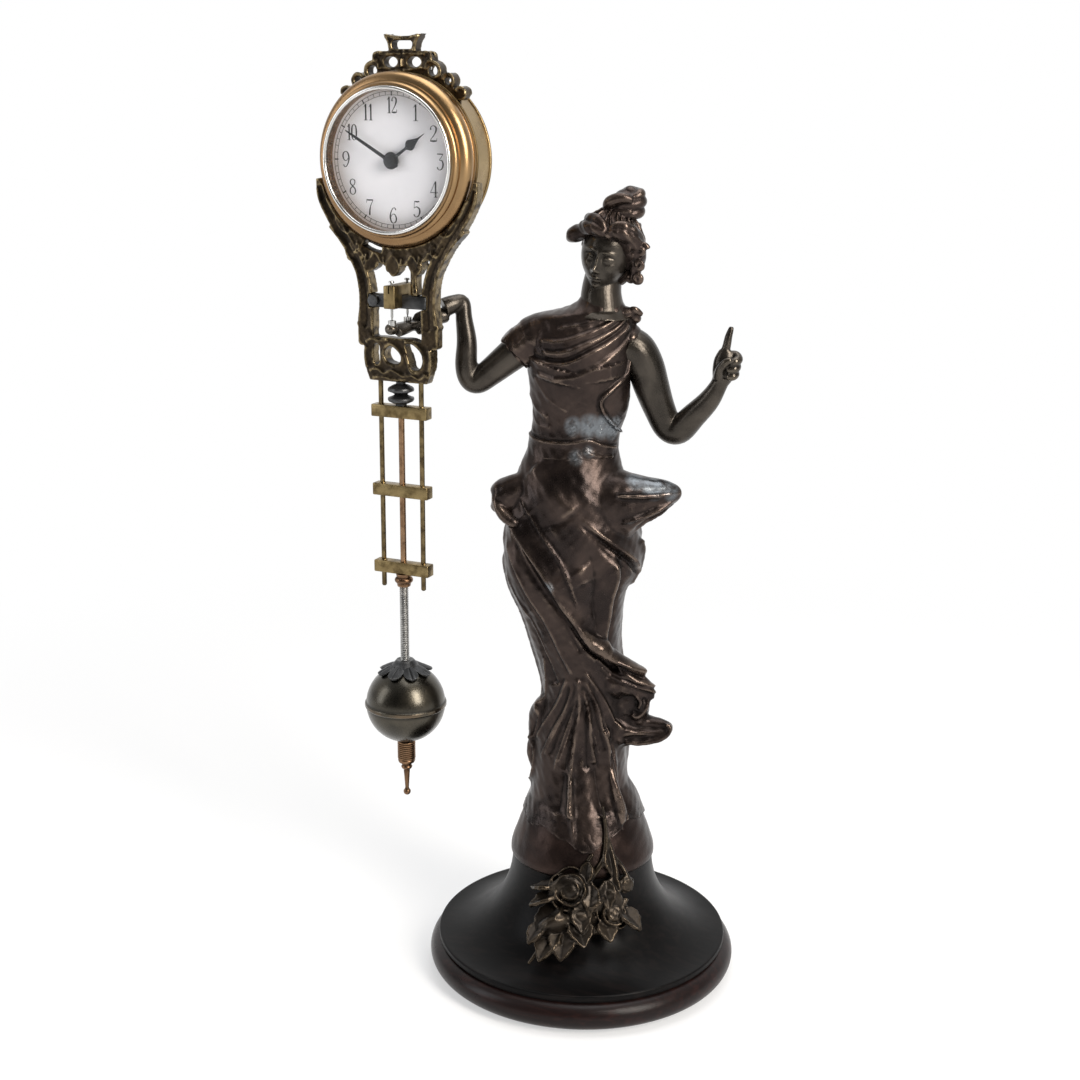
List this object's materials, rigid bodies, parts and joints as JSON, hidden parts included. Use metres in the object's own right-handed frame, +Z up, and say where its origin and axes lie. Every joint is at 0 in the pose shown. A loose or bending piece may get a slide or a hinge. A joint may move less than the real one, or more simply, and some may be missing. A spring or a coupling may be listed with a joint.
{
  "type": "mystery clock",
  "caption": "Mystery clock: a draped bronze lady on a turned dark wood base holds a swinging brass drum clock with a gridiron rod and ball bob on two needle pivots.",
  "frame": {"origin": "centre of the round base, on the surface it stands on", "axes": "+Z up, -Y towards the front, where the dial faces"},
  "size_m": [0.1474, 0.117, 0.3456],
  "materials": {
    "dark_wood": "satin black-brown lacquer",
    "green_felt": "felt",
    "bronze": "dark brown patina with warm highlights",
    "frame_bronze": "dark old bronze",
    "brass": "satin golden brass",
    "old_brass": "dull old brass",
    "ball_brass": "darkened brass",
    "copper": "copper-brown",
    "steel": "bright steel",
    "dark_steel": "blackened steel",
    "bright_ring": "polished",
    "glass": "clear",
    "dial_enamel": "white enamel"
  },
  "bodies": {
    "stand": {"wooden_base": "dark_wood", "felt_pad": "green_felt", "tie_rod": "steel", "tie_washer": "steel", "tie_nut": "steel", "mound": "bronze", "gown": "bronze", "bodice": "bronze", "head": "bronze", "right_arm": "bronze", "left_arm": "bronze", "rose_spray": "bronze", "pivot_cups": "steel"},
    "pendulum": {"pierced_frame": "frame_bronze", "crossbar": "dark_steel", "suspension_block": "old_brass", "pivot_needles": "steel", "frame_screws": "steel", "crest": "frame_bronze", "drum_case": "brass", "rear_cover": "brass", "front_bezel": "brass", "glass_ring": "bright_ring", "glass": "glass", "dial": "dial_enamel", "front_plate": "old_brass", "back_plate": "old_brass", "plate_pillars": "old_brass", "hanger_spool": "dark_steel", "top_bar": "old_brass", "middle_bar": "old_brass", "bottom_bar": "old_brass", "outer_rods": "old_brass", "middle_rod": "copper", "lock_nut": "copper", "bob_screw": "steel"},
    "bob": {"ball_upper": "ball_brass", "ball_lower": "ball_brass", "ball_core": "steel", "leaf_cap": "dark_steel"},
    "rating": {"rating_nut": "copper"},
    "minute": {"minute_arbor": "steel", "minute_hand": "dark_steel", "set_knob": "brass"},
    "hour": {"hour_wheel": "old_brass", "hour_hand": "dark_steel"}
  },
  "joints": [
    {"name": "swing", "type": "hinge", "parent": "stand", "child": "pendulum", "pos_m": [-0.0575, -0.034, 0.2505], "axis": [0, 1, 0], "range_deg": [-7, 7]},
    {"name": "bob_height", "type": "slide", "parent": "pendulum", "child": "bob", "axis": [0, 0, 1], "range_m": [-0.003, 0.003]},
    {"name": "rating_turn", "type": "hinge", "parent": "bob", "child": "rating", "pos_m": [-0.0575, -0.034, 0.0934], "axis": [0, 0, 1], "range_deg": [-1544, 1544]},
    {"name": "minute_turn", "type": "hinge", "parent": "pendulum", "child": "minute", "pos_m": [-0.0575, -0.04, 0.3042], "axis": [0, 1, 0], "continuous": true},
    {"name": "hour_turn", "type": "hinge", "parent": "pendulum", "child": "hour", "pos_m": [-0.0575, -0.04, 0.3042], "axis": [0, 1, 0], "continuous": true}
  ],
  "couplings": [
    {"joint": "rating_turn", "follows": "bob_height", "rad_per_m": 8976},
    {"joint": "hour_turn", "follows": "minute_turn", "ratio": 0.083333}
  ]
}
